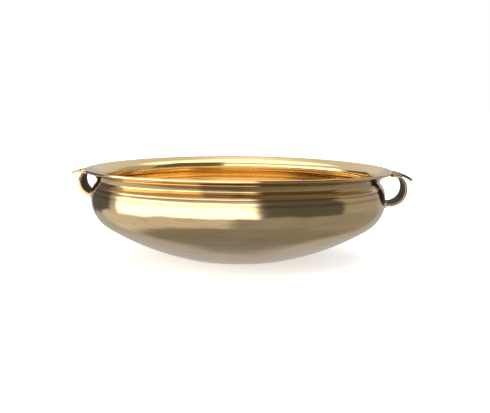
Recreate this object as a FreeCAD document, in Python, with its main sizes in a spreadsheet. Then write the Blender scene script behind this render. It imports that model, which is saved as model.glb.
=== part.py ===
import FreeCAD, Part
import math
import os
import Sketcher

# A brass urli: a wide, shallow cast bowl with a flared rim, a coved neck, two turned beads
# and a round belly, and two hand-bent loop handles brazed under the rim, each with a small
# pointed thumb tab. Millimetres, +Z up, origin on the floor under the middle of the foot.
# The handles stand on +X (right) and -X (left). Nothing on the object moves.

SIZES = {
    # bowl, from the foot up
    "foot_radius": 58.0,      # edge of the flat the bowl stands on
    "foot_step": 1.0,         # height of the turned edge of the foot
    "floor_thickness": 3.2,   # metal under the inside floor
    "base_curve": 250.0,      # radius of the shallow lower belly
    "belly_curve": 31.7,      # radius of the shoulder of the belly
    "belly_radius": 146.4,    # widest part of the belly, from the axis
    "wall": 2.4,              # thickness of the metal
    "shoulder_rise": 7.4,     # from the widest part up to the lower crease
    "bead_rise": 4.8,         # lower crease to upper crease
    "bead_inset": 2.2,        # upper crease, inside the widest part
    "bead_curve": 6.5,        # radius of the bead's swelling
    "roll_rise": 2.6,         # upper crease to the start of the cove
    "roll_inset": 3.4,        # start of the cove, inside the widest part
    "roll_curve": 4.2,        # radius of the roll's swelling
    "cove_rise": 5.1,         # start of the cove up to the neck
    "neck_inset": 5.9,        # neck, inside the widest part
    "flare_curve": 5.0,       # radius of the turn from the neck into the rim
    "flare_turn": 70.0,       # degrees of that turn
    "flare_rise": 10.7,       # neck up to the top of the rim
    "flare_width": 12.0,      # neck out to the edge of the rim
    "lip_thickness": 2.8,     # edge of the rim
    "lip_round": 1.0,         # how far the rounded edge swells
    # handles, shared
    "strap_width": 38.0,
    "strap_thickness": 2.4,
    "tab_thickness": 2.7,
    "tab_root_width": 24.0,   # where the tab leaves the rim
    "tab_tip_width": 4.4,     # rounded end of the tab
    "tab_set": 1.6,           # top of the tab below the top of the rim
    "tab_lap": 5.0,           # how far the tab reaches in under the rim
    "braze_radius": 1.5,      # run of filler in a corner
    "collar_reach": 2.4,      # braze collar, out from the belly
    "collar_margin": 1.8,     # braze collar, round the strap
    # each handle is bent by hand, and the left loop is the smaller
    "left_loop_radius": 12.6,
    "left_loop_inset": 9.5,   # middle of the loop, inside the edge of the rim
    "left_loop_drop": 13.9,   # middle of the loop, below the top of the rim
    "left_tab_reach": 15.5,
    "left_tab_droop": 3.2,
    "left_tab_curve": 85.0,
    "right_loop_radius": 14.9,
    "right_loop_inset": 3.5,
    "right_loop_drop": 18.6,
    "right_tab_reach": 21.5,
    "right_tab_droop": 8.0,
    "right_tab_curve": 40.0,
}

os.makedirs("parts", exist_ok=True)
doc = FreeCAD.newDocument("urli")
sheet = doc.addObject("Spreadsheet::Sheet", "Sizes")
for row, (alias, value) in enumerate(SIZES.items(), start=1):
    sheet.set(f"A{row}", alias)
    sheet.set(f"B{row}", str(value))
    sheet.setAlias(f"B{row}", alias)
doc.recompute()


def cell(name):
    """The expression that reads one size from the sheet."""
    return f"Sizes.{name}"


def number(expression):
    return float(sheet.evalExpression(str(expression)))


def new_body(name):
    return doc.addObject("PartDesign::Body", name)


def origin_plane(body, role):
    return [item for item in body.Origin.OriginFeatures if item.Role == role][0]


def arc_centre(start, end, radius, side):
    """Centre of the arc from start to end; side 1 puts it left of the way, -1 right."""
    chord = end - start
    left = FreeCAD.Vector(-chord.y, chord.x, 0).normalize()
    away = math.sqrt(radius ** 2 - (chord.Length / 2) ** 2)
    return (start + end) * 0.5 + left * (away * side)


def draw_outline(body, role, name, points, bends):
    """A closed sketch. points are pairs of expressions; bends[i] is None for a straight run
    from point i to the next, or (radius expression, side) for an arc."""
    sketch = body.newObject("Sketcher::SketchObject", name)
    sketch.AttachmentSupport = [(origin_plane(body, role), "")]
    sketch.MapMode = "FlatFace"
    places = [FreeCAD.Vector(number(across), number(up), 0) for across, up in points]
    count = len(points)
    start_ends = []
    for index in range(count):
        start, end = places[index], places[(index + 1) % count]
        bend = bends[index]
        if bend is None:
            sketch.addGeometry(Part.LineSegment(start, end))
            start_ends.append((1, 2))
            continue
        radius, side = number(bend[0]), bend[1]
        centre = arc_centre(start, end, radius, side)
        angles = [math.atan2(spot.y - centre.y, spot.x - centre.x) for spot in (start, end)]
        if side < 0:
            angles.reverse()
        whole = Part.Circle(centre, FreeCAD.Vector(0, 0, 1), radius)
        sketch.addGeometry(Part.ArcOfCircle(whole, angles[0], angles[1]))
        start_ends.append((1, 2) if side > 0 else (2, 1))
    for index in range(count):
        following = (index + 1) % count
        sketch.addConstraint(Sketcher.Constraint(
            "Coincident", index, start_ends[index][1], following, start_ends[following][0]))
    for index, (across, up) in enumerate(points):
        place = places[index]
        for kind, expression, value in (("DistanceX", across, place.x), ("DistanceY", up, place.y)):
            made = sketch.addConstraint(
                Sketcher.Constraint(kind, index, start_ends[index][0], value))
            label = f"{kind}{index}"
            sketch.renameConstraint(made, label)
            sketch.setExpression(f"Constraints.{label}", str(expression))
    for index, bend in enumerate(bends):
        if bend is None:
            continue
        made = sketch.addConstraint(Sketcher.Constraint("Radius", index, number(bend[0])))
        sketch.renameConstraint(made, f"Radius{index}")
        sketch.setExpression(f"Constraints.Radius{index}", str(bend[0]))
    return sketch


def turn_round(body, sketch, name):
    """Turn a sketch once round the body's vertical axis."""
    solid = body.newObject("PartDesign::Revolution", name)
    solid.Profile = sketch
    solid.ReferenceAxis = (sketch, ["V_Axis"])
    solid.Angle = 360
    return solid


def pad_both_ways(body, sketch, name, length):
    """Pad a sketch equally to both sides of its plane."""
    solid = body.newObject("PartDesign::Pad", name)
    solid.Profile = sketch
    solid.Midplane = True
    solid.setExpression("Length", length)
    return solid


def cut(base, tool, name):
    made = doc.addObject("Part::Cut", name)
    made.Base = base
    made.Tool = tool
    return made


# --- levels and radii of the bowl, each worked out from the sizes -------------------------

wall = cell("wall")
zero = "0"
base_centre = f"({cell('foot_step')} + sqrt({cell('base_curve')}^2 - {cell('foot_radius')}^2))"
shoulder_centre = f"({cell('belly_radius')} - {cell('belly_curve')})"
curve_gap = f"({cell('base_curve')} - {cell('belly_curve')})"
belly_height = f"({base_centre} - sqrt({curve_gap}^2 - {shoulder_centre}^2))"
lower_crease = f"({belly_height} + {cell('shoulder_rise')})"
upper_crease = f"({lower_crease} + {cell('bead_rise')})"
cove_start = f"({upper_crease} + {cell('roll_rise')})"
neck_height = f"({cove_start} + {cell('cove_rise')})"
rim_height = f"({neck_height} + {cell('flare_rise')})"
neck_radius = f"({cell('belly_radius')} - {cell('neck_inset')})"
rim_radius = f"({neck_radius} + {cell('flare_width')})"
cove_width = f"({cell('neck_inset')} - {cell('roll_inset')})"
# the cove is upright at the neck, which fixes its radius
cove_curve = f"(({cove_width}^2 + {cell('cove_rise')}^2) / (2 * {cove_width}))"


def skin(depth):
    """Points and bends of the bowl's skin, depth inside its outer face, from the tangent
    of base and shoulder up to the start of the flare."""
    base = f"({cell('base_curve')} - {depth})"
    shoulder = f"({cell('belly_curve')} - {depth})"
    flare = f"({cell('flare_curve')} + {depth})"
    creased = f"({shoulder_centre} + sqrt({shoulder}^2 - {cell('shoulder_rise')}^2))"
    flare_centre = f"({neck_radius} + {cell('flare_curve')})"
    points = [
        (f"{base} * {shoulder_centre} / {curve_gap}",
         f"{base_centre} - {base} * ({base_centre} - {belly_height}) / {curve_gap}"),
        (creased, lower_crease),
        (f"{cell('belly_radius')} - {cell('bead_inset')} - {depth}", upper_crease),
        (f"{cell('belly_radius')} - {cell('roll_inset')} - {depth}", cove_start),
        (f"{neck_radius} - {depth}", neck_height),
        (f"{flare_centre} - {flare} * cos({cell('flare_turn')})",
         f"{neck_height} + {flare} * sin({cell('flare_turn')})"),
    ]
    bends = [
        (shoulder, 1),
        (cell("bead_curve"), 1),
        (cell("roll_curve"), 1),
        (cove_curve, -1),
        (flare, -1),
    ]
    return points, bends


def flip(bends):
    return [None if bend is None else (bend[0], -bend[1]) for bend in reversed(bends)]


def bowl_outline(filled):
    """The bowl's section right of its axis. Filled, it is the outer form alone, which trims
    the handles' ends to the bowl."""
    outer, outer_bends = skin("0")
    base = cell("base_curve")
    points = [(zero, zero), (cell("foot_radius"), zero), (cell("foot_radius"), cell("foot_step"))]
    bends = [None, None, (base, 1)]
    points += outer
    bends += outer_bends
    lip_radius = f"({rim_radius} - {cell('lip_round')})"
    lip_curve = (f"(({cell('lip_thickness')}^2 / 4 + {cell('lip_round')}^2)"
                 f" / (2 * {cell('lip_round')}))")
    points += [(lip_radius, f"{rim_height} - {cell('lip_thickness')}"), (lip_radius, rim_height)]
    bends += [None, (lip_curve, 1)]
    if filled:
        points.append((zero, rim_height))
        bends += [None, None]
        return points, bends
    inner, inner_bends = skin(wall)
    inner_base = f"({base} - {wall})"
    floor_radius = f"sqrt({inner_base}^2 - ({base_centre} - {cell('floor_thickness')})^2)"
    points += list(reversed(inner))
    points += [(floor_radius, cell("floor_thickness")), (zero, cell("floor_thickness"))]
    bends += [None] + flip(inner_bends) + [(inner_base, -1), None, None]
    return points, bends


def make_bowl(name, filled):
    body = new_body(name)
    points, bends = bowl_outline(filled)
    sketch = draw_outline(body, "XZ_Plane", f"{name}_section", points, bends)
    turn_round(body, sketch, f"{name}_turned")
    return body


# --- a handle, built on +X and then turned to its side ------------------------------------

def loop_band(side, form, tab_ceiling):
    """The strap: a flat band bent to a round loop, its lower end running in to the belly and
    its upper end under the tab. Both ends are trimmed to what they are brazed to."""
    inside = cell(f"{side}_loop_radius")
    outside = f"({inside} + {cell('strap_thickness')})"
    middle = f"({rim_radius} - {cell(f'{side}_loop_inset')})"
    level = f"({rim_height} - {cell(f'{side}_loop_drop')})"
    tail = shoulder_centre
    points = [
        (tail, f"{level} - {outside}"),
        (middle, f"{level} - {outside}"),
        (f"{middle} + {outside}", level),
        (middle, f"{level} + {outside}"),
        (middle, f"{level} + {inside}"),
        (f"{middle} + {inside}", level),
        (middle, f"{level} - {inside}"),
        (tail, f"{level} - {inside}"),
    ]
    bends = [None, (outside, 1), (outside, 1), None, (inside, -1), (inside, -1), None, None]
    body = new_body(f"{side}_band")
    sketch = draw_outline(body, "XZ_Plane", f"{side}_band_section", points, bends)
    pad_both_ways(body, sketch, f"{side}_band_pad", cell("strap_width"))
    trimmed = cut(body, form, f"{side}_strap_trimmed")
    return cut(trimmed, tab_ceiling, f"{side}_strap_fitted")


def tab_levels(side):
    """Expressions for the tab: inner end, tip, and the height of its top at each."""
    inner = f"({rim_radius} - {cell('tab_lap')})"
    tip = f"({rim_radius} + {cell(f'{side}_tab_reach')})"
    high = f"({rim_height} - {cell('tab_set')})"
    low = f"({high} - {cell(f'{side}_tab_droop')})"
    return inner, tip, high, low


def tab_ceiling_solid(side):
    """Everything above the tab's underside: what the strap's upper end is trimmed with."""
    inner, tip, high, low = tab_levels(side)
    thick = cell("tab_thickness")
    curve = cell(f"{side}_tab_curve")
    above = f"({rim_height} + 2 * {thick})"
    inside_end = shoulder_centre
    points = [(inside_end, f"{high} - {thick}"), (inner, f"{high} - {thick}"),
              (tip, f"{low} - {thick}"), (tip, above), (inside_end, above)]
    bends = [None, (f"({curve} - {thick})", -1), None, None, None]
    body = new_body(f"{side}_ceiling")
    sketch = draw_outline(body, "XZ_Plane", f"{side}_ceiling_section", points, bends)
    pad_both_ways(body, sketch, f"{side}_ceiling_pad", f"2 * {cell('strap_width')}")
    return body


def thumb_tab(side, form):
    """The tab: a bent plate, broad at the rim and drawn out to a narrow rounded tip by two
    hollow flanks. A bent strip and an upright prism of its plan share their common part."""
    inner, tip, high, low = tab_levels(side)
    thick = cell("tab_thickness")
    curve = cell(f"{side}_tab_curve")
    strip = new_body(f"{side}_tab_strip")
    section = [(inner, f"{high} - {thick}"), (tip, f"{low} - {thick}"), (tip, low), (inner, high)]
    section_bends = [(f"({curve} - {thick})", -1), None, (curve, 1), None]
    sketch = draw_outline(strip, "XZ_Plane", f"{side}_tab_section", section, section_bends)
    pad_both_ways(strip, sketch, f"{side}_tab_pad", f"2 * {cell('strap_width')}")
    root = f"({cell('tab_root_width')} / 2)"
    end = f"({cell('tab_tip_width')} / 2)"
    flank = f"({root} - {end})"
    shoulder = f"({tip} - {end} - {flank})"
    plan = [(inner, f"-{root}"), (shoulder, f"-{root}"), (f"{tip} - {end}", f"-{end}"),
            (f"{tip} - {end}", end), (shoulder, root), (inner, root)]
    plan_bends = [None, (flank, -1), (f"{end} * 1.0001", 1), (flank, -1), None, None]
    prism = new_body(f"{side}_tab_prism")
    sketch = draw_outline(prism, "XY_Plane", f"{side}_tab_plan", plan, plan_bends)
    pad_both_ways(prism, sketch, f"{side}_tab_plan_pad", f"4 * {rim_height}")
    leaf = doc.addObject("Part::MultiCommon", f"{side}_leaf")
    leaf.Shapes = [strip, prism]
    return cut(leaf, form, f"{side}_tab_leaf")


def filler_rod(name, across, up, length):
    """A round run of filler along Y, later trimmed to the corner that it fills."""
    rod = doc.addObject("Part::Cylinder", f"{name}_rod")
    rod.setExpression("Radius", cell("braze_radius"))
    rod.setExpression("Height", length)
    rod.Placement.Rotation = FreeCAD.Rotation(FreeCAD.Vector(1, 0, 0), 90)
    rod.setExpression("Placement.Base.x", across)
    rod.setExpression("Placement.Base.y", f"{length} / 2")
    rod.setExpression("Placement.Base.z", up)
    return rod


def rim_braze(side, form, tab):
    """Filler along the line where the tab's underside runs into the flare's."""
    _, _, high, _ = tab_levels(side)
    level = f"({high} - {cell('tab_thickness')})"
    start, start_level = skin(zero)[0][-1]
    end = f"({rim_radius} - {cell('lip_round')})"
    end_level = f"({rim_height} - {cell('lip_thickness')})"
    share = f"(({level} - ({start_level})) / ({end_level} - ({start_level})))"
    across = f"{start} + ({end} - ({start})) * {share}"
    rod = filler_rod(f"{side}_rim", across, level,
                     f"({cell('tab_root_width')} - {cell('braze_radius')})")
    return cut(cut(rod, form, f"{side}_rim_fitted"), tab, f"{side}_rim_filler")


def tab_braze(side, strap, ceiling):
    """Filler in the crotch between the strap's outer face and the tab's underside."""
    outside = f"({cell(f'{side}_loop_radius')} + {cell('strap_thickness')})"
    middle = f"({rim_radius} - {cell(f'{side}_loop_inset')})"
    level = f"({rim_height} - {cell(f'{side}_loop_drop')})"
    inner, tip, high, low = tab_levels(side)
    # the underside is a shallow arc; its chord with the arc's rise added is close enough
    first_climb = f"({high} - {cell('tab_thickness')} - {level})"
    first_across = f"({middle} + sqrt({outside}^2 - {first_climb}^2))"
    share = f"(({first_across} - {inner}) / ({tip} - {inner}))"
    chord = f"({first_climb} - ({high} - {low}) * {share})"
    rise = f"(({tip} - {inner})^2 * {share} * (1 - {share}) / (2 * {cell(f'{side}_tab_curve')}))"
    climb = f"({chord} + {rise})"
    radius = cell("braze_radius")
    across = f"{middle} + sqrt({outside}^2 - {climb}^2) + {radius} * 0.5"
    rod = filler_rod(f"{side}_tab", across, f"{level} + {climb} - {radius} * 0.5",
                     f"({cell('tab_root_width')} / 2)")
    return cut(cut(rod, strap, f"{side}_tab_fitted"), ceiling, f"{side}_tab_filler")


def belly_braze(side, form, strap):
    """The collar of filler round the strap's lower end, on the belly."""
    inside = cell(f"{side}_loop_radius")
    level = f"({rim_height} - {cell(f'{side}_loop_drop')})"
    margin = cell("collar_margin")
    box = doc.addObject("Part::Box", f"{side}_collar_block")
    width = f"({cell('strap_width')} + 2 * {margin})"
    box.setExpression("Width", width)
    box.setExpression("Height", f"{cell('strap_thickness')} + 2 * {margin}")
    box.setExpression("Length", f"{cell('belly_curve')} + {cell('collar_reach')}")
    box.setExpression("Placement.Base.x", shoulder_centre)
    box.setExpression("Placement.Base.y", f"-{width} / 2")
    box.setExpression("Placement.Base.z",
                      f"{level} - {inside} - {cell('strap_thickness')} - {margin}")
    return cut(cut(box, form, f"{side}_collar_fitted"), strap, f"{side}_collar_filler")


def make_handle(side, degrees):
    """The five pieces of one handle, each turned to its side of the bowl and labelled."""
    form = make_bowl(f"{side}_form", filled=True)
    ceiling = tab_ceiling_solid(side)
    tab = thumb_tab(side, form)
    strap = loop_band(side, form, ceiling)
    pieces = {
        f"{side}_strap": strap,
        f"{side}_thumb_tab": tab,
        f"{side}_rim_braze": rim_braze(side, form, tab),
        f"{side}_tab_braze": tab_braze(side, strap, ceiling),
        f"{side}_belly_braze": belly_braze(side, form, strap),
    }
    turn = FreeCAD.Rotation(FreeCAD.Vector(0, 0, 1), degrees)
    placed = []
    for label, piece in pieces.items():
        turned = doc.addObject("Part::Compound", label)
        turned.Links = [piece]
        turned.Placement = FreeCAD.Placement(FreeCAD.Vector(0, 0, 0), turn)
        placed.append(turned)
    return placed


nodes = [make_bowl("bowl_shell", filled=False)]
nodes += make_handle("right", 0)
nodes += make_handle("left", 180)

doc.recompute()
faults = [item.Name for item in doc.Objects if {"Invalid", "Error"} & set(item.State)]
if faults:
    raise RuntimeError(f"failed objects: {faults}")
for node in nodes:
    if node.Shape.isNull() or not node.Shape.isValid() or len(node.Shape.Solids) != 1:
        raise RuntimeError(f"{node.Label}: {len(node.Shape.Solids)} solids")
for node in nodes:
    node.Shape.exportStep(f"parts/{node.Label}.step")
    print(node.Label, round(node.Shape.Volume), "cubic mm")
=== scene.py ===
# %% [markdown]
# # A brass urli
# An urli is a wide, shallow bowl of cast brass. The founder casts it thick, turns it on a
# lathe, and brazes two bent strap handles under the flared rim. This lesson dresses the
# measured parts of such a bowl: each piece is rebuilt as a smooth mesh in the same place,
# and each finish is made from shader nodes. The first cell loads the measured parts and
# takes the rim's size and height from them; the other sizes are listed below.

# %% Load the measured parts
import math

import bmesh
import bpy
from mathutils import Matrix, Vector, noise


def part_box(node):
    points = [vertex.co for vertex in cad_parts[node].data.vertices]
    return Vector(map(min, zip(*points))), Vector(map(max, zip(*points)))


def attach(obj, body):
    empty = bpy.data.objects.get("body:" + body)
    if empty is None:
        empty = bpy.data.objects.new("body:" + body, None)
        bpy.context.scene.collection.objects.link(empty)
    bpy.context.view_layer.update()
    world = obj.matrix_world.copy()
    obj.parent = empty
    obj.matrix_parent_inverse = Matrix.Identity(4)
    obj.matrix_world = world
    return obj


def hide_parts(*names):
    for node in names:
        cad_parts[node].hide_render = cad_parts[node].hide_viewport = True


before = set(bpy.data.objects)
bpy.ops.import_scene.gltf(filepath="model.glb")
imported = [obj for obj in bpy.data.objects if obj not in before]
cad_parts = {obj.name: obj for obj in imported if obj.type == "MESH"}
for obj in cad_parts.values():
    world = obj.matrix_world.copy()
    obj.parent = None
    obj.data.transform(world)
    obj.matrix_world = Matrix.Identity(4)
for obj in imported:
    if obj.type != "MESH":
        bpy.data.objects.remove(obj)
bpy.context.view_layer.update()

MM = 0.001
low, high = (Vector(corner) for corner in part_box("bowl_shell"))
RIM_RADIUS = (high.x - low.x) / 2
RIM_HEIGHT = high.z
print("rim", round(RIM_RADIUS / MM, 1), "mm out,", round(RIM_HEIGHT / MM, 1), "mm up")

# %% [markdown]
# ## The bowl's section
# A turned vessel is one outline swung round an axis, so its whole character is in the
# outline. A hand-drawn spline would do, but a lathe tool leaves arcs that meet in crisp
# creases, and arcs are easy to measure. Here each stretch is an arc between two points,
# given by its radius and by which side its centre is on. The skin is drawn twice, once for
# the outside and once a wall's thickness further in, and joined at the lip and on the axis.

# %% Sizes of the section
RIM_OVERHANG = 6.1 * MM
BELLY_RADIUS = RIM_RADIUS - RIM_OVERHANG
BELLY_CURVE = 31.7 * MM
BASE_CURVE = 250 * MM
FOOT_RADIUS = 58 * MM
FOOT_STEP = 1.0 * MM
FLOOR_THICKNESS = 3.2 * MM
WALL = 2.4 * MM
SHOULDER_RISE = 7.4 * MM
BEAD_RISE = 4.8 * MM
ROLL_RISE = 2.6 * MM
COVE_RISE = 5.1 * MM
BEAD_INSET = 2.2 * MM
ROLL_INSET = 3.4 * MM
NECK_INSET = 5.9 * MM
BEAD_CURVE = 6.0 * MM
ROLL_CURVE = 3.0 * MM
FLARE_CURVE = 5.0 * MM
FLARE_TURN = math.radians(70)
NECK_CUT = 0.7 * MM
UNDER_FLARE_RISE = 6.3 * MM
UNDER_FLARE_REACH = 3.9 * MM
UNDER_FLARE_CURVE = 13 * MM
LIP_THICKNESS = 2.8 * MM
LIP_LEAN = 0.9 * MM
LIP_CURVE = 4.5 * MM

shoulder_centre = BELLY_RADIUS - BELLY_CURVE
curve_gap = BASE_CURVE - BELLY_CURVE
base_centre = FOOT_STEP + math.sqrt(BASE_CURVE ** 2 - FOOT_RADIUS ** 2)
belly_height = base_centre - math.sqrt(curve_gap ** 2 - shoulder_centre ** 2)
lower_crease = belly_height + SHOULDER_RISE
upper_crease = lower_crease + BEAD_RISE
cove_start = upper_crease + ROLL_RISE
neck_height = cove_start + COVE_RISE
neck_radius = BELLY_RADIUS - NECK_INSET
cove_width = NECK_INSET - ROLL_INSET
COVE_CURVE = (cove_width ** 2 + COVE_RISE ** 2) / (2 * cove_width)
print("widest at", round(belly_height / MM, 1), "mm, neck at", round(neck_height / MM, 1), "mm")


# %% [markdown]
# ## From sizes to an outline
# The sizes above become points. An arc helper walks from one point to the next round a
# centre, with a step that suits the detail: fine on the beads, coarse on the belly, where
# the curve is slow. Two passes of easing at the end take the knife edge off each crease,
# as polishing does on the real bowl.

# %% Draw the section
def arc(start, end, radius, side, step):
    """Points along an arc, without its end; side 1 has the centre left of the way."""
    chord = end - start
    left = Vector((-chord.y, chord.x)).normalized()
    centre = (start + end) / 2 + left * side * math.sqrt(radius ** 2 - chord.length_squared / 4)
    first, last = start - centre, end - centre
    turn = math.atan2(first.x * last.y - first.y * last.x, first.dot(last))
    count = max(2, round(abs(turn) * radius / step))
    return [centre + Matrix.Rotation(turn * i / count, 2) @ first for i in range(count)]


def line(start, end, step):
    count = max(1, round((end - start).length / step))
    return [start.lerp(end, i / count) for i in range(count)]


def skin(depth, ridge_drop):
    """Corners of the bowl's skin, depth inside its outer face, from base to flare."""
    base = BASE_CURVE - depth
    shoulder = BELLY_CURVE - depth
    flare = FLARE_CURVE + depth
    tangent = Vector((shoulder_centre, belly_height - base_centre)) * (base / curve_gap)
    crease_up = SHOULDER_RISE - ridge_drop
    creased = shoulder_centre + math.sqrt(shoulder ** 2 - crease_up ** 2)
    return [
        tangent + Vector((0, base_centre)),
        Vector((creased, lower_crease - ridge_drop)),
        Vector((BELLY_RADIUS - BEAD_INSET - depth, upper_crease - ridge_drop / 2)),
        Vector((BELLY_RADIUS - ROLL_INSET - depth, cove_start - ridge_drop / 2)),
        Vector((neck_radius - depth, neck_height)),
        Vector((neck_radius + FLARE_CURVE - flare * math.cos(FLARE_TURN),
                neck_height + flare * math.sin(FLARE_TURN))),
    ]


def skin_path(corners, depth):
    """The skin's arcs as points, fine on the beads and coarse on the belly."""
    radii = [(BELLY_CURVE - depth, 1, 2.4 * MM), (BEAD_CURVE, 1, 0.5 * MM),
             (ROLL_CURVE, 1, 0.45 * MM), (COVE_CURVE, -1, 0.6 * MM),
             (FLARE_CURVE + depth, -1, 0.7 * MM)]
    path = []
    for (start, end), (radius, side, step) in zip(zip(corners, corners[1:]), radii):
        path += arc(start, end, radius, side, step)
    return path + [corners[-1]]


def outer_path(corners, under_lip):
    """The outside: a shallow cut at the neck, then a long lean out under the flare."""
    cut = Vector((neck_radius - 0.1 * MM, neck_height - NECK_CUT))
    lean = cut + Vector((UNDER_FLARE_REACH, UNDER_FLARE_RISE))
    path = skin_path(corners[:4], 0)[:-1]
    path += arc(corners[3], cut, 14 * MM, -1, 0.6 * MM)
    path += arc(cut, lean, UNDER_FLARE_CURVE, -1, 0.6 * MM)
    return path + line(lean, under_lip, 1.2 * MM)


def section_points():
    outer = skin(0, 0)
    inner = skin(WALL, 1.6 * MM)
    foot = Vector((FOOT_RADIUS, FOOT_STEP))
    foot_edge = Vector((FOOT_RADIUS - 0.6 * MM, 0))
    under_lip = Vector((RIM_RADIUS - 0.1 * MM, RIM_HEIGHT - LIP_THICKNESS))
    over_lip = Vector((RIM_RADIUS - LIP_LEAN, RIM_HEIGHT))
    inner_base = BASE_CURVE - WALL
    floor_radius = math.sqrt(inner_base ** 2 - (base_centre - FLOOR_THICKNESS) ** 2)
    floor_edge = Vector((floor_radius, FLOOR_THICKNESS))
    path = line(Vector((0, 0)), foot_edge, 14 * MM)
    path += line(foot_edge, foot, 0.6 * MM)
    path += arc(foot, outer[0], BASE_CURVE, 1, 5 * MM)
    path += outer_path(outer, under_lip)
    path += arc(under_lip, over_lip, LIP_CURVE, 1, 0.4 * MM)
    path += line(over_lip, inner[-1], 1.6 * MM)
    path += list(reversed(skin_path(inner, WALL)))
    path += arc(inner[0], floor_edge, inner_base, -1, 5 * MM)[1:]
    path += line(floor_edge, Vector((0, FLOOR_THICKNESS)), 14 * MM)
    path.append(Vector((0, FLOOR_THICKNESS)))
    lip_row = min(range(len(path)), key=lambda i: (path[i] - over_lip).length)
    for _ in range(2):
        eased = [a * 0.25 + b * 0.5 + c * 0.25 for a, b, c in zip(path, path[1:], path[2:])]
        path = [path[0]] + eased + [path[-1]]
    return path, lip_row


section, LIP_ROW = section_points()
print("section of", len(section), "points")

# %% [markdown]
# ## Turning the section
# Blender can turn an outline with the Screw modifier or the Spin operator. Geometry Nodes
# are chosen because the tree also holds what a lathe leaves out: a bowl that has been
# carried hot from the mould is never quite round or level. A grid of vertices is laid out
# with one column for each step round the axis. Each vertex looks up its own section point,
# swings it to its angle, and then takes a slow wobble and the rim's slight sag towards the
# handles.


# %% Helpers for node trees
def new_tree(name, inputs):
    """A geometry node tree with the named inputs, its input node and its output node."""
    tree = bpy.data.node_groups.new(name, "GeometryNodeTree")
    for label, kind, value in inputs:
        socket = tree.interface.new_socket(label, in_out="INPUT", socket_type=kind)
        if value is not None:
            socket.default_value = value
    tree.interface.new_socket("Geometry", in_out="OUTPUT", socket_type="NodeSocketGeometry")
    return tree, tree.nodes.new("NodeGroupInput"), tree.nodes.new("NodeGroupOutput")


def node(tree, kind, *sources, **settings):
    """Add a node, set its properties, and link or set its inputs in order."""
    made = tree.nodes.new(kind)
    for key, value in settings.items():
        setattr(made, key, value)
    sockets = [socket for socket in made.inputs if socket.enabled]
    for socket, source in zip(sockets, sources):
        if source is None:
            continue
        if isinstance(source, bpy.types.NodeSocket):
            tree.links.new(source, socket)
        else:
            socket.default_value = source
    return made


def maths(tree, operation, *sources):
    return node(tree, "ShaderNodeMath", *sources, operation=operation).outputs[0]


def combine(tree, x, y, z):
    return node(tree, "ShaderNodeCombineXYZ", x, y, z).outputs[0]


def apply_tree(obj, tree, values):
    """Run a node tree on an object and leave the result as its plain mesh."""
    modifier = obj.modifiers.new(tree.name, "NODES")
    modifier.node_group = tree
    for item in tree.interface.items_tree:
        if item.in_out == "INPUT" and item.name in values:
            modifier[item.identifier] = values[item.name]
    bpy.context.view_layer.update()
    graph = bpy.context.evaluated_depsgraph_get()
    mesh = bpy.data.meshes.new_from_object(obj.evaluated_get(graph), depsgraph=graph)
    obj.modifiers.remove(modifier)
    return mesh


def close_mesh(mesh, distance=0.02 * MM):
    """Merge doubles, then turn every face outwards."""
    work = bmesh.new()
    work.from_mesh(mesh)
    bmesh.ops.remove_doubles(work, verts=work.verts, dist=distance)
    bmesh.ops.recalc_face_normals(work, faces=work.faces)
    open_edges = sum(1 for edge in work.edges if not edge.is_manifold)
    for face in work.faces:
        face.smooth = True
    work.to_mesh(mesh)
    volume = work.calc_volume(signed=True)
    work.free()
    print(mesh.name, len(mesh.polygons), "faces, open edges", open_edges,
          "volume", round(volume / MM ** 3), "cubic mm")
    return mesh


def add_piece(name, mesh):
    piece = bpy.data.objects.new(name, mesh)
    bpy.context.scene.collection.objects.link(piece)
    return piece


# %% [markdown]
# ## The lathe as a node tree
# The tree swings the section round the axis and stores three facts on the mesh for the
# shader: what is inside the rim, how deep in a crease a point is, and what is neck. Storing
# them here is easier than guessing them again from heights in the material. The rim's sag
# is repeated in a small function, so that the handles follow the rim they are fixed to.

# %% The lathe tree
SEGMENTS = 288
RIM_SAG = 1.0 * MM
WOBBLE = 0.22 * MM
SAG_START = belly_height * 0.7
CREASE_WIDTH = 1.3 * MM


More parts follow.
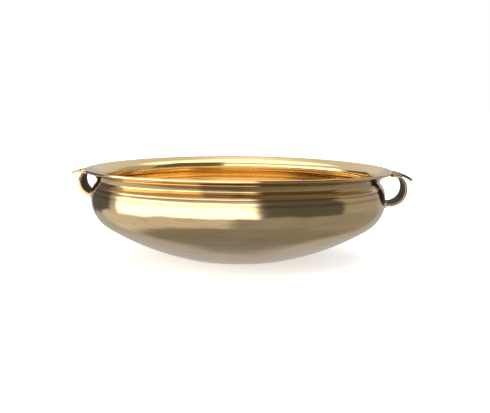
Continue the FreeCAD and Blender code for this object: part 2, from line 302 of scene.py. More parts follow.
def lathe_tree():
    tree, given, result = new_tree("turned_vessel", [
        ("Section", "NodeSocketObject", None),
        ("Segments", "NodeSocketInt", SEGMENTS),
        ("Section Points", "NodeSocketInt", len(section)),
        ("Wobble", "NodeSocketFloat", WOBBLE),
        ("Rim Sag", "NodeSocketFloat", RIM_SAG),
        ("Sag Start", "NodeSocketFloat", SAG_START),
        ("Rim Height", "NodeSocketFloat", RIM_HEIGHT),
        ("Seed", "NodeSocketFloat", 4.0),
        ("Lip Row", "NodeSocketInt", LIP_ROW),
        ("Lower Crease", "NodeSocketFloat", lower_crease),
        ("Upper Crease", "NodeSocketFloat", upper_crease),
        ("Crease Width", "NodeSocketFloat", CREASE_WIDTH),
        ("Neck Start", "NodeSocketFloat", cove_start + 1.5 * MM),
        ("Neck End", "NodeSocketFloat", RIM_HEIGHT - LIP_THICKNESS),
        ("Material", "NodeSocketMaterial", None),
    ])
    value = {socket.name: socket for socket in given.outputs}
    columns = maths(tree, "ADD", value["Segments"], 1.0)
    grid = node(tree, "GeometryNodeMeshGrid", 1.0, 1.0, columns, value["Section Points"])
    index = node(tree, "GeometryNodeInputIndex").outputs[0]
    column = maths(tree, "FLOOR", maths(tree, "DIVIDE", index, value["Section Points"]))
    before = maths(tree, "MULTIPLY", column, value["Section Points"])
    row = maths(tree, "SUBTRACT", index, before)
    outline = node(tree, "GeometryNodeObjectInfo", value["Section"]).outputs["Geometry"]
    spot = node(tree, "GeometryNodeInputPosition").outputs[0]
    looked_up = node(tree, "GeometryNodeSampleIndex", outline, spot, row,
                     data_type="FLOAT_VECTOR", domain="POINT").outputs[0]
    place = node(tree, "ShaderNodeSeparateXYZ", looked_up)
    angle = maths(tree, "DIVIDE", maths(tree, "MULTIPLY", column, math.tau), value["Segments"])
    cosine, sine = maths(tree, "COSINE", angle), maths(tree, "SINE", angle)
    climb = node(tree, "ShaderNodeMapRange", place.outputs["Z"], value["Sag Start"],
                 value["Rim Height"], 0.0, 1.0, interpolation_type="SMOOTHSTEP").outputs[0]
    # slow noise in the direction from the axis, fading to nothing at the axis
    direction = combine(tree, cosine, sine, maths(tree, "MULTIPLY", place.outputs["Z"], 9.0))
    slow = node(tree, "ShaderNodeTexNoise", direction, value["Seed"], 1.1, 1.0, 0.5,
                noise_dimensions="4D").outputs[0]
    away = maths(tree, "MULTIPLY", maths(tree, "SUBTRACT", slow, 0.5), value["Wobble"])
    fade = node(tree, "ShaderNodeMapRange", place.outputs["X"], FOOT_RADIUS,
                BELLY_RADIUS, 0.0, 2.0).outputs[0]
    radius = maths(tree, "ADD", place.outputs["X"], maths(tree, "MULTIPLY", away, fade))
    twice = maths(tree, "COSINE", maths(tree, "MULTIPLY", angle, 2.0))
    dip = maths(tree, "MULTIPLY", maths(tree, "MULTIPLY", twice, value["Rim Sag"]), climb)
    level = maths(tree, "SUBTRACT", place.outputs["Z"], dip)
    turned = combine(tree, maths(tree, "MULTIPLY", radius, cosine),
                     maths(tree, "MULTIPLY", radius, sine), level)
    body = node(tree, "GeometryNodeSetPosition", grid.outputs["Mesh"], True, turned).outputs[0]
    inside = maths(tree, "GREATER_THAN", row, value["Lip Row"])
    body = node(tree, "GeometryNodeStoreNamedAttribute", body, True, "inside", inside,
                data_type="FLOAT", domain="POINT").outputs[0]
    depths = []
    for crease in ("Lower Crease", "Upper Crease"):
        gap = maths(tree, "ABSOLUTE", maths(tree, "SUBTRACT", place.outputs["Z"], value[crease]))
        share = maths(tree, "DIVIDE", gap, value["Crease Width"])
        depths.append(maths(tree, "SUBTRACT", 1.0, share))
    crease = maths(tree, "MAXIMUM", maths(tree, "MAXIMUM", depths[0], depths[1]), 0.0)
    body = node(tree, "GeometryNodeStoreNamedAttribute", body, True, "crease", crease,
                data_type="FLOAT", domain="POINT").outputs[0]
    above = maths(tree, "GREATER_THAN", place.outputs["Z"], value["Neck Start"])
    below = maths(tree, "LESS_THAN", place.outputs["Z"], value["Neck End"])
    outside = maths(tree, "SUBTRACT", 1.0, inside)
    neck = maths(tree, "MULTIPLY", above, maths(tree, "MULTIPLY", below, outside))
    body = node(tree, "GeometryNodeStoreNamedAttribute", body, True, "neck", neck,
                data_type="FLOAT", domain="POINT").outputs[0]
    real = node(tree, "GeometryNodeRealizeInstances", body).outputs[0]
    dressed = node(tree, "GeometryNodeSetMaterial", real, True, value["Material"]).outputs[0]
    tree.links.new(dressed, result.inputs[0])
    return tree


def rim_dip(angle, level):
    """The same sag as the tree gives, for the pieces that are fixed to the rim."""
    share = (level - SAG_START) / (RIM_HEIGHT - SAG_START)
    share = min(1.0, max(0.0, share))
    return RIM_SAG * math.cos(2 * angle) * share * share * (3 - 2 * share)


# %% [markdown]
# ## Polished brass
# Brass is a metal, so its colour is the colour of its reflections and the base colour is
# all that can tint it. A single colour would look like plastic. The real surface has three
# more layers: fine rings left by the lathe, a haze of finger marks and polish that changes
# the roughness from place to place, and brown tarnish that gathers in the creases. Rings
# follow the distance from the axis and the height, so they run round the bowl.


# %% Shader helpers
def new_material(name):
    material = bpy.data.materials.new(name)
    material.use_nodes = True
    material.node_tree.nodes.clear()
    return material, material.node_tree


def ramp(tree, source, stops, interpolation="LINEAR"):
    made = node(tree, "ShaderNodeValToRGB", source)
    made.color_ramp.interpolation = interpolation
    for _ in stops[2:]:
        made.color_ramp.elements.new(0.5)
    for element, (position, colour) in zip(made.color_ramp.elements, stops):
        element.position = position
        element.color = (*colour, 1) if len(colour) == 3 else colour
    return made.outputs["Color"]


def grey(value):
    return (value, value, value)


def mix(tree, factor, first, second, blend="MIX"):
    made = node(tree, "ShaderNodeMix", data_type="RGBA", blend_type=blend)
    for socket, source in ((made.inputs["Factor"], factor), (made.inputs[6], first),
                           (made.inputs[7], second)):
        if isinstance(source, bpy.types.NodeSocket):
            tree.links.new(source, socket)
        else:
            socket.default_value = source
    return made.outputs[2]


def noise_of(tree, vector, scale, detail=3.0, roughness=0.5):
    return node(tree, "ShaderNodeTexNoise", vector, scale, detail, roughness).outputs[0]


def principled(tree, colour, roughness, normal, metallic=1.0):
    """Finish a metal: metallic is a plain number or the socket of a pattern."""
    surface = tree.nodes.new("ShaderNodeBsdfPrincipled")
    if isinstance(metallic, float):
        surface.inputs["Metallic"].default_value = metallic
    else:
        tree.links.new(metallic, surface.inputs["Metallic"])
    tree.links.new(colour, surface.inputs["Base Color"])
    tree.links.new(roughness, surface.inputs["Roughness"])
    tree.links.new(normal, surface.inputs["Normal"])
    output = tree.nodes.new("ShaderNodeOutputMaterial")
    tree.links.new(surface.outputs[0], output.inputs[0])


# %% [markdown]
# ## The bowl's finish in layers
# Each layer is one mix over the last: lathe rings, streaks, dirt in the creases, a brown
# film on the neck with painted shade over it, darkest on the front and round the right-hand
# side, and dark specks. The roughness gets the same care as the colour, because on metal a
# change of gloss shows more than a change of tint. An image texture would need an
# unwrapped bowl, so noise on the object's own coordinates is chosen.

# %% The bowl's finish
def polished_brass():
    material, tree = new_material("polished_brass")
    where = node(tree, "ShaderNodeTexCoord").outputs["Object"]
    split = node(tree, "ShaderNodeSeparateXYZ", where)
    flat = combine(tree, split.outputs["X"], split.outputs["Y"], 0.0)
    reach = node(tree, "ShaderNodeVectorMath", flat, operation="LENGTH").outputs["Value"]
    height = split.outputs["Z"]
    inside = node(tree, "ShaderNodeAttribute", attribute_name="inside").outputs["Fac"]
    # rings of the lathe: noise that changes with radius and height, hardly round the bowl
    lathe = combine(tree, reach, height, maths(tree, "MULTIPLY", split.outputs["X"], 0.004))
    rings = noise_of(tree, lathe, 900.0, 4.0, 0.7)
    bands = noise_of(tree, lathe, 150.0, 3.0, 0.6)
    stretched = combine(tree, split.outputs["X"], split.outputs["Y"],
                        maths(tree, "MULTIPLY", height, 5.0))
    streaks = noise_of(tree, stretched, 34.0, 5.0, 0.62)
    haze = noise_of(tree, where, 22.0, 5.0, 0.6)
    cloud = noise_of(tree, where, 7.0, 3.0, 0.55)
    specks = noise_of(tree, where, 260.0, 3.0, 0.7)
    tone = ramp(tree, cloud, [(0.30, (0.80, 0.58, 0.30)), (0.55, (0.86, 0.64, 0.36)),
                              (0.75, (0.77, 0.54, 0.27))])
    tone = mix(tree, inside, tone, (0.96, 0.72, 0.37, 1))
    outside = maths(tree, "SUBTRACT", 1.0, maths(tree, "MULTIPLY", inside, 0.9))
    banded = ramp(tree, bands, [(0.40, grey(0.0)), (0.75, grey(0.45))])
    banded = maths(tree, "MULTIPLY", banded, outside)
    tone = mix(tree, banded, tone, (0.62, 0.44, 0.24, 1))
    streaked = ramp(tree, streaks, [(0.50, grey(0.0)), (0.72, grey(0.60))])
    streaked = maths(tree, "MULTIPLY", streaked, outside)
    tone = mix(tree, streaked, tone, (0.60, 0.41, 0.22, 1))
    crease = node(tree, "ShaderNodeAttribute", attribute_name="crease").outputs["Fac"]
    dirt = maths(tree, "MULTIPLY", crease, maths(tree, "ADD", haze, 0.5))
    tone = mix(tree, dirt, tone, (0.42, 0.26, 0.11, 1))
    # the neck keeps a brown film all round; over it, painted shade darkens the neck, darkest on
    # the front and round the right-hand side, hardly at all on the left
    neck = node(tree, "ShaderNodeAttribute", attribute_name="neck").outputs["Fac"]
    front = maths(tree, "MULTIPLY", split.outputs["Y"], -1.0)
    around = maths(tree, "ARCTAN2", split.outputs["X"], front)
    around = maths(tree, "ADD", around, maths(tree, "MULTIPLY", haze, 0.25))
    tone = mix(tree, maths(tree, "MULTIPLY", neck, 0.75), tone, (0.74, 0.50, 0.20, 1))
    # painted shade on the neck: dark from the front round the right-hand side, almost none on the
    # left
    front_right_shade = ramp(tree, maths(tree, "ADD", maths(tree, "MULTIPLY", around, 0.5), 0.5),
                [(0.44, grey(0.05)), (0.47, grey(0.95)), (0.58, grey(0.85)), (0.62, grey(0.60)),
                 (0.80, grey(0.30))])
    painted_neck_shade = maths(tree, "MULTIPLY", neck, front_right_shade)
    tone = mix(tree, painted_neck_shade, tone, (0.36, 0.24, 0.125, 1))
    spots = ramp(tree, specks, [(0.70, grey(0.0)), (0.78, grey(0.50))])
    tone = mix(tree, spots, tone, (0.38, 0.22, 0.10, 1))
    dull = ramp(tree, haze, [(0.25, grey(0.055)), (0.60, grey(0.09)), (0.85, grey(0.17))])
    ringed = ramp(tree, rings, [(0.30, grey(0.0)), (0.80, grey(0.06))])
    dull = mix(tree, 1.0, dull, ringed, "ADD")
    ridges = node(tree, "ShaderNodeBump", 0.10, 0.0002)
    tree.links.new(rings, ridges.inputs["Height"])
    dents = node(tree, "ShaderNodeBump", 0.14, 0.002)
    tree.links.new(cloud, dents.inputs["Height"])
    tree.links.new(ridges.outputs[0], dents.inputs["Normal"])
    principled(tree, tone, dull, dents.outputs[0])
    return material


BRASS = polished_brass()

# %% [markdown]
# ## Turning the bowl
# The outline becomes a small mesh of edges that the lathe tree reads as its Section input.
# The tree's result is then made a plain mesh, its poles and seam are merged shut, and the
# outline is thrown away. The printed line should say that no edges are open.

# %% Turn the bowl
outline = bpy.data.meshes.new("bowl_section")
steps = [(i, i + 1) for i in range(len(section) - 1)]
outline.from_pydata([(p.x, 0, p.y) for p in section], steps, [])
pattern = add_piece("bowl_section", outline)
bowl = add_piece("bowl", bpy.data.meshes.new("bowl_blank"))
bowl.data = close_mesh(apply_tree(bowl, lathe_tree(), {"Section": pattern, "Material": BRASS}))
bpy.data.objects.remove(pattern)
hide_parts("bowl_shell")
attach(bowl, "root")

# %% [markdown]
# ## The handles
# Each handle is two hand-bent pieces: a flat strap bent to a loop and a small thumb tab
# that grows out of the rim. A curve with a bevel would sweep one fixed section, but these
# are drawn out with a hammer, so their width changes along the way. They are lofted
# instead: rounded sections are placed along a bent route and skinned.

# %% Loft sections along a bent route
STRAP_THICKNESS = 2.4 * MM
STRAP_WIDTH = 38 * MM
TAB_THICKNESS = 2.7 * MM
TAB_ROOT = 24 * MM
TAB_TIP = 4.4 * MM
TAB_SET = 1.6 * MM
TAB_LAP = 5 * MM
STRAP_BITE = 1.8 * MM
STRAP_TO_TAB = (TAB_THICKNESS + STRAP_THICKNESS) * 0.45
STRAP_CORNER = 0.6 * MM
TAB_CORNER = 0.7 * MM
CORNER_STEPS = 4
FACE_STEPS = 12
CORNERS = 4 * (CORNER_STEPS + 1) + 2 * (FACE_STEPS - 1)


def bar_section(width, thickness, corner):
    """A flat bar's section with rounded corners: pairs of (across, out)."""
    corner = min(corner, thickness * 0.4, width * 0.45)
    half_wide, half_thick = width / 2 - corner, thickness / 2 - corner
    loop = []
    for quarter, (side, face) in enumerate(((1, 1), (-1, 1), (-1, -1), (1, -1))):
        for i in range(CORNER_STEPS + 1):
            turn = math.pi / 2 * (quarter + i / CORNER_STEPS)
            loop.append((side * half_wide + corner * math.cos(turn),
                         face * half_thick + corner * math.sin(turn)))
        if side == face:
            for i in range(1, FACE_STEPS):
                loop.append((side * half_wide * (1 - 2 * i / FACE_STEPS), face * thickness / 2))
    return loop


def loft(name, stations, side, unevenness, seed, painted_shade):
    """stations: (x, z, heading, width, thickness, corner) in the plane of the handle, on
    +X. The attribute holds outer face and side face, which the wear follows, and a painted
    shade that darkens one handle's bare brass, in its three channels."""
    vertices, wear_and_shade = [], []
    for x, z, heading, width, thickness, corner in stations:
        outward = Vector((-math.sin(heading), 0, math.cos(heading)))
        for across, out in bar_section(width, thickness, corner):
            spot = Vector((x, across, z)) + outward * out
            bump = noise.noise(spot * 90 + Vector((seed, 0, 0))) * unevenness
            spot += outward * bump
            spot.z -= rim_dip(0.0, spot.z)
            vertices.append(spot if side > 0 else Vector((-spot.x, -spot.y, spot.z)))
            edge = abs(across) / (width / 2)
            wear_and_shade.append((max(0.0, out / (thickness / 2)), edge ** 6))
    count = len(stations)
    faces = [(s * CORNERS + c, s * CORNERS + (c + 1) % CORNERS,
              (s + 1) * CORNERS + (c + 1) % CORNERS, (s + 1) * CORNERS + c)
             for s in range(count - 1) for c in range(CORNERS)]
    faces.append(tuple(range(CORNERS)))
    faces.append(tuple(range((count - 1) * CORNERS, count * CORNERS)))
    mesh = bpy.data.meshes.new(name)
    mesh.from_pydata(vertices, [], faces)
    layer = mesh.color_attributes.new("wear_and_shade", "FLOAT_COLOR", "POINT")
    for item, (outer, edge) in zip(layer.data, wear_and_shade):
        # outer face and edge for the wear; the third channel is painted shade for the handle on
        # the side away from the light
        item.color = (outer, edge, painted_shade, 1)
    return add_piece(name, close_mesh(mesh))


# %% [markdown]
# ## Where the handles go
# The two handles were bent by hand over whatever round bar was near, so they differ and
# each has its own sizes. The tab is a shallow arc from under the rim to its tip. The strap
# goes from inside the belly's skin, round the loop, and then lies flat against the tab back
# to the rim. Each route is a list of places with the heading of the bar at that place.

# %% Routes of the strap and the tab
# The second entry of each handle is painted shade: 0.8 darkens the right-hand handle's bare brass
# as the side away from the light, 0.0 leaves the left one lit.
HANDLES = {
    "right": {"side": 1, "painted_shade": 0.8, "loop": 14.9, "inset": 3.5, "drop": 18.6,
              "reach": 21.5, "droop": 8.0, "bend": 40.0},
    "left": {"side": -1, "painted_shade": 0.0, "loop": 12.6, "inset": 9.5, "drop": 13.9,
             "reach": 15.5, "droop": 3.2, "bend": 85.0},
}


def tab_route(shape, count=48):
    """Middle line of the tab: (x, z, heading) from under the rim to the tip."""
    start = Vector((RIM_RADIUS - TAB_LAP, RIM_HEIGHT - TAB_SET))
    end = start + Vector((TAB_LAP + shape["reach"] * MM, -shape["droop"] * MM))
    radius = shape["bend"] * MM
    chord = end - start
    drop = Vector((chord.y, -chord.x)).normalized()
    centre = (start + end) / 2 + drop * math.sqrt(radius ** 2 - chord.length_squared / 4)
    first, last = start - centre, end - centre
    turn = math.atan2(first.x * last.y - first.y * last.x, first.dot(last))
    inner = (radius - TAB_THICKNESS / 2) / radius
    route = []
    for i in range(count + 1):
        arm = Matrix.Rotation(turn * i / count, 2) @ first
        spot = centre + arm * inner
        route.append((spot.x, spot.y, math.atan2(arm.y, arm.x) - math.pi / 2))
    return route


def tab_width(x, tip):
    """Width of the tab at x: square root, hollow flanks, then a rounded tip."""
    root, end = TAB_ROOT / 2, TAB_TIP / 2
    flank = root - end
    before_tip = tip - end
    if x > before_tip:
        return 2 * math.sqrt(max(1e-10, end ** 2 - (x - before_tip) ** 2))
    into = before_tip - x
    if into < flank:
        return 2 * (end + flank - math.sqrt(flank ** 2 - into ** 2))
    return 2 * root


def strap_route(shape, count=64):
    """Middle line of the strap, from inside the belly's skin round to under the tab."""
    radius = shape["loop"] * MM + STRAP_THICKNESS / 2
    middle = RIM_RADIUS - shape["inset"] * MM
    level = RIM_HEIGHT - shape["drop"] * MM
    tab = tab_route(shape)
    start_x = BELLY_RADIUS - STRAP_BITE
    route = [(start_x, level - radius, 0.0)] if start_x < middle - 1 * MM else []
    for i in range(count + 1):
        angle = -math.pi / 2 + math.pi * i / count
        x, z = middle + radius * math.cos(angle), level + radius * math.sin(angle)
        if x < start_x and angle < 0:
            continue
        if angle > 0:
            nearest = min(tab, key=lambda place: abs(place[0] - x))
            if z > nearest[1] - STRAP_TO_TAB:
                break
        route.append((x, z, angle + math.pi / 2))
    # the end of the strap is beaten flat against the tab, back to the rim
    for place_x, place_z, lean in reversed(tab):
        if RIM_RADIUS - 3.0 * MM < place_x < route[-1][0] - 1.2 * MM:
            route.append((place_x + math.sin(lean) * STRAP_TO_TAB,
                          place_z - math.cos(lean) * STRAP_TO_TAB, lean + math.pi))
    return route


for name, shape in HANDLES.items():
    print(name, "strap", len(strap_route(shape)), "stations")

# %% [markdown]
# ## Aged brass
# The polisher reaches the bowl but not the inside of the loops, so the handles keep the
# brown-black skin of the fire, and only the outer faces and edges are rubbed bright by
# hands. The loft left that knowledge on the mesh as an attribute, and the shader mixes
# dark skin with bare brass by it, broken up by noise so the wear has a ragged border. The
# attribute's third channel is painted shade: it darkens the bare brass of the right-hand
# handle, the side away from the light.


# %% The handles' finish
def aged_brass(name, dark, bare, shine):
    material, tree = new_material(name)
    where = node(tree, "ShaderNodeTexCoord").outputs["Object"]
    layer = node(tree, "ShaderNodeAttribute", attribute_name="wear_and_shade")
    parts = node(tree, "ShaderNodeSeparateColor", layer.outputs["Color"])
    blotch = noise_of(tree, where, 120.0, 5.0, 0.65)
    grain = noise_of(tree, where, 700.0, 4.0, 0.7)
    rubbed = maths(tree, "ADD", maths(tree, "MULTIPLY", parts.outputs[0], 0.75), parts.outputs[1])
    ragged = maths(tree, "MULTIPLY", maths(tree, "SUBTRACT", blotch, 0.5), 1.1)
    rubbed = maths(tree, "ADD", rubbed, ragged)
    rubbed = maths(tree, "MULTIPLY", rubbed, shine)
    share = ramp(tree, rubbed, [(0.25, grey(0.0)), (0.85, grey(1.0))], "EASE")
    skin_tone = ramp(tree, blotch, [(0.3, dark), (0.7, tuple(c * 1.9 for c in dark))])
    bare_tone = ramp(tree, grain, [(0.3, bare), (0.7, tuple(c * 0.72 for c in bare))])
    # painted shade: the third channel darkens the bare brass of the handle on the side away from
    # the light
    bare_tone = mix(tree, parts.outputs[2], bare_tone, (0.20, 0.13, 0.085, 1))
    tone = mix(tree, share, skin_tone, bare_tone)
    dull = ramp(tree, rubbed, [(0.2, grey(0.60)), (0.9, grey(0.20))])
    metal = maths(tree, "ADD", maths(tree, "MULTIPLY", share, 0.75), 0.25)
    fine = node(tree, "ShaderNodeBump", 0.25, 0.0003)
    tree.links.new(grain, fine.inputs["Height"])
    lumps = node(tree, "ShaderNodeBump", 0.35, 0.0012)
    tree.links.new(blotch, lumps.inputs["Height"])
    tree.links.new(fine.outputs[0], lumps.inputs["Normal"])
    principled(tree, tone, dull, lumps.outputs[0], metal)
    return material


AGED = aged_brass("aged_brass", (0.040, 0.025, 0.024), (0.62, 0.41, 0.17), 1.0)
FILLER = aged_brass("braze_brass", (0.34, 0.29, 0.21), (0.62, 0.54, 0.40), 0.8)

# %% [markdown]
# ## Making the straps and tabs
# The routes and widths meet here. The strap is drawn narrower where it lies under the tab,
# and the tab has hollow flanks and a round tip. A little noise along the way stands in for
# hammer marks. Each piece keeps its place in its mesh, with its object at the origin.

# %% Loft the straps and tabs
for index, (name, shape) in enumerate(HANDLES.items()):
    route = strap_route(shape)
    stations = []
    for i, (x, z, heading) in enumerate(route):
        share = i / (len(route) - 1)
        narrow = 1 - 0.30 * max(0.0, (share - 0.62) / 0.38) ** 1.5
        stations.append((x, z, heading - math.pi, STRAP_WIDTH * narrow, STRAP_THICKNESS,
                         STRAP_CORNER))
    strap = loft(f"{name}_handle_strap", stations, shape["side"], 0.16 * MM, index * 7.0,
                 shape["painted_shade"])
    strap.data.materials.append(AGED)
    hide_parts(f"{name}_strap")
    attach(strap, "root")

    tip = RIM_RADIUS + shape["reach"] * MM
    stations = [(x, z, heading, tab_width(x, tip), TAB_THICKNESS, TAB_CORNER)
                for x, z, heading in tab_route(shape)]
    tab = loft(f"{name}_handle_tab", stations, shape["side"], 0.12 * MM, 30 + index * 5.0,
               shape["painted_shade"])
    tab.data.materials.append(AGED)
    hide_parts(f"{name}_thumb_tab")
    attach(tab, "root")

# %% [markdown]
# ## Brazing
# The handles are held by brass filler that ran into the corners and froze in a lumpy line.
# Each run follows a path, so it suits Geometry Nodes: sweep a round section along the path
# and push its skin in and out with noise. The paths are short polylines placed where strap,
# tab and bowl meet.


# %% The filler tree
COLLAR_RADIUS = 1.5 * MM
CROTCH_RADIUS = 1.2 * MM
UNDER_RIM_RADIUS = 1.4 * MM
COLLAR_CLEARANCE = 0.3 * MM
UNDER_RIM = 4.6 * MM


def filler_tree():
    tree, given, result = new_tree("braze_run", [
        ("Geometry", "NodeSocketGeometry", None),
        ("Radius", "NodeSocketFloat", COLLAR_RADIUS),
        ("Lumps", "NodeSocketFloat", 0.7 * MM),
        ("Lump Scale", "NodeSocketFloat", 260.0),
        ("Spacing", "NodeSocketFloat", 0.5 * MM),
        ("Seed", "NodeSocketFloat", 1.0),
        ("Material", "NodeSocketMaterial", None),
    ])
    value = {socket.name: socket for socket in given.outputs}
    path = node(tree, "GeometryNodeMeshToCurve", value["Geometry"]).outputs[0]
    even = node(tree, "GeometryNodeResampleCurve", path)
    if hasattr(even, "mode"):
        even.mode = "LENGTH"
    tree.links.new(value["Spacing"], even.inputs["Length"])
    ring = node(tree, "GeometryNodeCurvePrimitiveCircle", 20)
    tree.links.new(value["Radius"], ring.inputs["Radius"])
    swept = node(tree, "GeometryNodeCurveToMesh")
    tree.links.new(even.outputs[0], swept.inputs["Curve"])
    tree.links.new(ring.outputs[0], swept.inputs["Profile Curve"])
    swept.inputs["Fill Caps"].default_value = True
    spot = node(tree, "GeometryNodeInputPosition").outputs[0]
    lumps = node(tree, "ShaderNodeTexNoise", spot, value["Seed"], value["Lump Scale"], 2.0, 0.5,
                 noise_dimensions="4D").outputs[0]
    push = maths(tree, "MULTIPLY", maths(tree, "SUBTRACT", lumps, 0.5), value["Lumps"])
    normal = node(tree, "GeometryNodeInputNormal").outputs[0]
    offset = node(tree, "ShaderNodeVectorMath", normal, operation="SCALE")
    tree.links.new(push, offset.inputs["Scale"])
    moved = node(tree, "GeometryNodeSetPosition", swept.outputs[0], True)
    tree.links.new(offset.outputs[0], moved.inputs["Offset"])
    real = node(tree, "GeometryNodeRealizeInstances", moved.outputs[0]).outputs[0]
    dressed = node(tree, "GeometryNodeSetMaterial", real, True, value["Material"]).outputs[0]
    tree.links.new(dressed, result.inputs[0])
    return tree


FILLER_TREE = filler_tree()
print(FILLER_TREE.name, "of", len(FILLER_TREE.nodes), "nodes")

# %% [markdown]
# ## One run of filler
# A run is a short polyline given on the right-hand side. The helper drops it with the rim's
# sag, turns it half round the axis for the left-hand side, and sweeps it with the tree. A
# half turn is chosen over a mirror, because a turn never flips the faces inside out.

# %% Sweep a run of filler
def filler_run(name, path, side, radius, seed, replaced, closed=False):
    """Sweep a braze run along a path given on +X and turn it to its side."""
    spots = []
    for x, y, z in path:
        z = z - rim_dip(0.0, z)
        spots.append((x, y, z) if side > 0 else (-x, -y, z))
    edges = [(i, i + 1) for i in range(len(spots) - 1)]
    if closed:
        edges.append((len(spots) - 1, 0))
    route = bpy.data.meshes.new(name)
    route.from_pydata(spots, edges, [])
    piece = add_piece(name, route)
    piece.data = close_mesh(apply_tree(piece, FILLER_TREE, {
        "Radius": radius, "Seed": seed, "Material": FILLER}))
    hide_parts(replaced)
    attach(piece, "root")
    return piece


def skin_radius(z):
    """Outer radius of the belly at a height between the base and the lower crease."""
    return shoulder_centre + math.sqrt(BELLY_CURVE ** 2 - (z - belly_height) ** 2)


# %% [markdown]
# ## Where the filler froze
# Three runs hold each handle: a collar round the strap's lower end on the belly, a run in
# the crotch between strap and tab, and a run under the rim behind the tab. The collar
# follows a squarish ring round the strap that is bent onto the belly's curve.

# %% Lay the runs
for index, (name, shape) in enumerate(HANDLES.items()):
    side = shape["side"]
    level = RIM_HEIGHT - shape["drop"] * MM - shape["loop"] * MM - STRAP_THICKNESS / 2
    half_wide = STRAP_WIDTH / 2 + COLLAR_CLEARANCE
    half_high = STRAP_THICKNESS / 2 + COLLAR_CLEARANCE
    collar = []
    for i in range(48):
        turn = math.tau * i / 48
        cosine, sine = math.cos(turn), math.sin(turn)
        y = math.copysign(abs(cosine) ** 0.25, cosine) * half_wide
        z = level + math.copysign(abs(sine) ** 0.4, sine) * half_high
        reach = skin_radius(min(z, lower_crease))
        collar.append((math.sqrt(reach ** 2 - y ** 2) + 0.1 * MM, y, z))
    filler_run(f"{name}_belly_filler", collar, side, COLLAR_RADIUS, 3.0 + index,
               f"{name}_belly_braze", closed=True)
    meeting = max(strap_route(shape), key=lambda place: place[1])
    crotch = [(meeting[0] + 3.0 * MM, y * MM, meeting[1] + 0.4 * MM) for y in range(-7, 8)]
    filler_run(f"{name}_tab_filler", crotch, side, CROTCH_RADIUS, 8.0 + index,
               f"{name}_tab_braze")
    arm = RIM_RADIUS - UNDER_RIM
    run = [(math.sqrt(arm ** 2 - (y * MM) ** 2), y * MM, RIM_HEIGHT - UNDER_RIM)
           for y in range(-11, 12)]
    filler_run(f"{name}_rim_filler", run, side, UNDER_RIM_RADIUS, 14.0 + index,
               f"{name}_rim_braze")

# %% [markdown]
# ## Floor, light and camera
# Polished metal shows its surroundings more than itself. The floor is plain and pale and is
# lit by broad soft lamps. What the brass reflects is a separate, unseen studio, all neutral
# grey: a broad soft panel to the left, a dark flag to the right and a narrow one at the edge,
# as in a small studio for metalwork. The brass alone gives the reflections their colour.


# %% Floor
def floor():
    mesh = bpy.data.meshes.new("floor")
    size = 6.0
    mesh.from_pydata([(-size, -size, 0), (size, -size, 0), (size, size, 0), (-size, size, 0)], [],
                     [(0, 1, 2, 3)])
    piece = add_piece("floor", mesh)
    material, tree = new_material("pale_floor")
    surface = node(tree, "ShaderNodeBsdfPrincipled")
    surface.inputs["Base Color"].default_value = (0.90, 0.90, 0.895, 1)
    surface.inputs["Roughness"].default_value = 0.9
    surface.inputs["Emission Color"].default_value = (1, 1, 1, 1)
    surface.inputs["Emission Strength"].default_value = 0.55
    output = tree.nodes.new("ShaderNodeOutputMaterial")
    tree.links.new(surface.outputs[0], output.inputs[0])
    mesh.materials.append(material)
    piece.visible_glossy = False


floor()


# %% [markdown]
# ## Soft lamps
# Two large area lamps and an even white world light the floor and the dull handles. A small
# lamp would leave hard spots. The lamps are hidden from reflections, as the next step gives
# the polished brass something better to mirror.

# %% Lamps
def soft_lamp(name, place, size, power, aim=(0, 0, 0.05)):
    data = bpy.data.lights.new(name, "AREA")
    data.shape = "RECTANGLE"
    data.size, data.size_y = size
    data.energy = power
    lamp = bpy.data.objects.new(name, data)
    bpy.context.scene.collection.objects.link(lamp)
    lamp.location = place
    lamp.rotation_euler = (Vector(aim) - Vector(place)).to_track_quat("-Z", "Y").to_euler()
    lamp.visible_glossy = False
    return lamp


soft_lamp("top_soft", (0, 0.2, 2.2), (3.0, 3.0), 30)
soft_lamp("left_soft", (-2.0, -1.2, 1.3), (1.6, 1.6), 14)

world = bpy.data.worlds.new("studio")
world.use_nodes = True
world.node_tree.nodes["Background"].inputs["Color"].default_value = (1, 1, 1, 1)
world.node_tree.nodes["Background"].inputs["Strength"].default_value = 1.0
bpy.context.scene.world = world
bpy.context.scene.view_settings.view_transform = "Standard"


# %% [markdown]
# ## What the brass mirrors
# A dome that only reflections can see holds the studio: grey walls, a light ceiling, a
# floor, one softbox and two dark flags. Real panels would work too, but they would also
# shade the floor. The dark flags matter as much as the light, because polished metal with
# nothing dark to mirror looks like plaster. The borders waver a little, since hand-turned
# brass is never a true mirror.

# %% The studio that the brass reflects
STUDIO_RADIUS = 2.6
WALL_LIGHT = 0.5
# (name, bearings, elevations, softness in degrees, brightness). Bearing 0 is the camera's
# side and 90 the right handle's side; the later panels lie over the earlier.
PANELS = [
    ("upper_walls", (-190, 190), (14, 95), 12, 0.65),
    ("ceiling", (-190, 190), (50, 95), 14, 1.6),
    ("right_wall", (70, 135), (-14, 40), 10, 0.42),
    ("left_floor", (-130, -4), (-50, -6), 14, 0.70),
    ("right_floor", (-2, 140), (-50, -10), 14, 0.35),
    ("near_floor", (-190, 190), (-95, -46), 20, 0.27),
    ("softbox", (-100, 15), (-15, 24), 7, 2.6),
    ("dark_flag", (18, 85), (-12, 60), 7, 0.12),
    ("edge_flag", (-150, -110), (-12, 22), 6, 0.12),
]


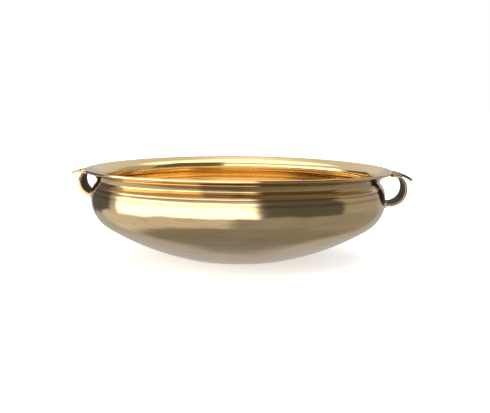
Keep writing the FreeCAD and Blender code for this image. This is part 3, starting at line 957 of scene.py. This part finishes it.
def within(tree, source, start, end, spread):
    """1 where the source lies between start and end, fading over spread at both ends."""
    rise = node(tree, "ShaderNodeMapRange", source, start - spread / 2, start + spread / 2,
                0.0, 1.0, interpolation_type="SMOOTHSTEP").outputs[0]
    fall = node(tree, "ShaderNodeMapRange", source, end - spread / 2, end + spread / 2,
                1.0, 0.0, interpolation_type="SMOOTHSTEP").outputs[0]
    return maths(tree, "MULTIPLY", rise, fall)


def wavering(tree, angle, way, scale, amount):
    """An angle pushed to and fro by noise, because the brass is not quite true."""
    push = maths(tree, "SUBTRACT", noise_of(tree, way, scale, 3.0, 0.55), 0.5)
    return maths(tree, "ADD", angle, maths(tree, "MULTIPLY", push, amount))


def reflected_studio():
    """A dome that only reflections see: neutral grey, lighter and darker by direction."""
    mesh = bpy.data.meshes.new("reflected_studio")
    work = bmesh.new()
    bmesh.ops.create_uvsphere(work, u_segments=64, v_segments=32, radius=STUDIO_RADIUS)
    work.to_mesh(mesh)
    work.free()
    dome = add_piece("reflected_studio", mesh)
    material, tree = new_material("studio_walls")
    where = node(tree, "ShaderNodeTexCoord").outputs["Object"]
    way = node(tree, "ShaderNodeVectorMath", where, operation="NORMALIZE").outputs[0]
    split = node(tree, "ShaderNodeSeparateXYZ", way)
    back = maths(tree, "MULTIPLY", split.outputs["Y"], -1.0)
    bearing = maths(tree, "DEGREES", maths(tree, "ARCTAN2", split.outputs["X"], back))
    climb = maths(tree, "DEGREES", maths(tree, "ARCSINE", split.outputs["Z"]))
    bearing = wavering(tree, bearing, way, 2.5, 14.0)
    climb = wavering(tree, climb, way, 4.0, 12.0)
    light = (*grey(WALL_LIGHT), 1)
    for name, bearings, climbs, soft, brightness in PANELS:
        share = maths(tree, "MULTIPLY", within(tree, bearing, *bearings, soft),
                      within(tree, climb, *climbs, soft * 0.7))
        light = mix(tree, share, light, (*grey(brightness), 1))
        print(name, "brightness", brightness)
    glow = node(tree, "ShaderNodeEmission", light, 1.0)
    output = tree.nodes.new("ShaderNodeOutputMaterial")
    tree.links.new(glow.outputs[0], output.inputs[0])
    mesh.materials.append(material)
    for flag in ("visible_camera", "visible_diffuse", "visible_shadow", "visible_transmission",
                 "visible_volume_scatter"):
        setattr(dome, flag, False)


reflected_studio()

# %% [markdown]
# ## The camera
# A long lens a metre away keeps the rim's ellipse flat. The camera stands above
# the rim, so the inside shows as a narrow crescent. Its axes are built as three vectors, so
# that the slight roll is plain to read, and there is no blur with distance.

# %% Camera
CAMERA_DISTANCE = 0.950
CAMERA_HEIGHT = 0.1651
CAMERA_BEARING = 0.0306
CAMERA_PITCH = math.radians(6.96)
CAMERA_YAW = math.radians(-0.404)
CAMERA_ROLL = math.radians(0.54)
FOCAL_LENGTH = 69.88

heading = CAMERA_BEARING + CAMERA_YAW
forward = Vector((-math.sin(heading) * math.cos(CAMERA_PITCH),
                  math.cos(heading) * math.cos(CAMERA_PITCH), -math.sin(CAMERA_PITCH)))
level_right = Vector((math.cos(heading), math.sin(heading), 0))
level_up = level_right.cross(forward)
right = level_right * math.cos(CAMERA_ROLL) + level_up * math.sin(CAMERA_ROLL)
up = right.cross(forward)
lens = bpy.data.cameras.new("camera")
lens.sensor_width = 36
lens.lens = FOCAL_LENGTH
camera = bpy.data.objects.new("camera", lens)
bpy.context.scene.collection.objects.link(camera)
camera.matrix_world = Matrix((
    (right.x, up.x, -forward.x, CAMERA_DISTANCE * math.sin(CAMERA_BEARING)),
    (right.y, up.y, -forward.y, -CAMERA_DISTANCE * math.cos(CAMERA_BEARING)),
    (right.z, up.z, -forward.z, CAMERA_HEIGHT), (0, 0, 0, 1)))
bpy.context.scene.camera = camera
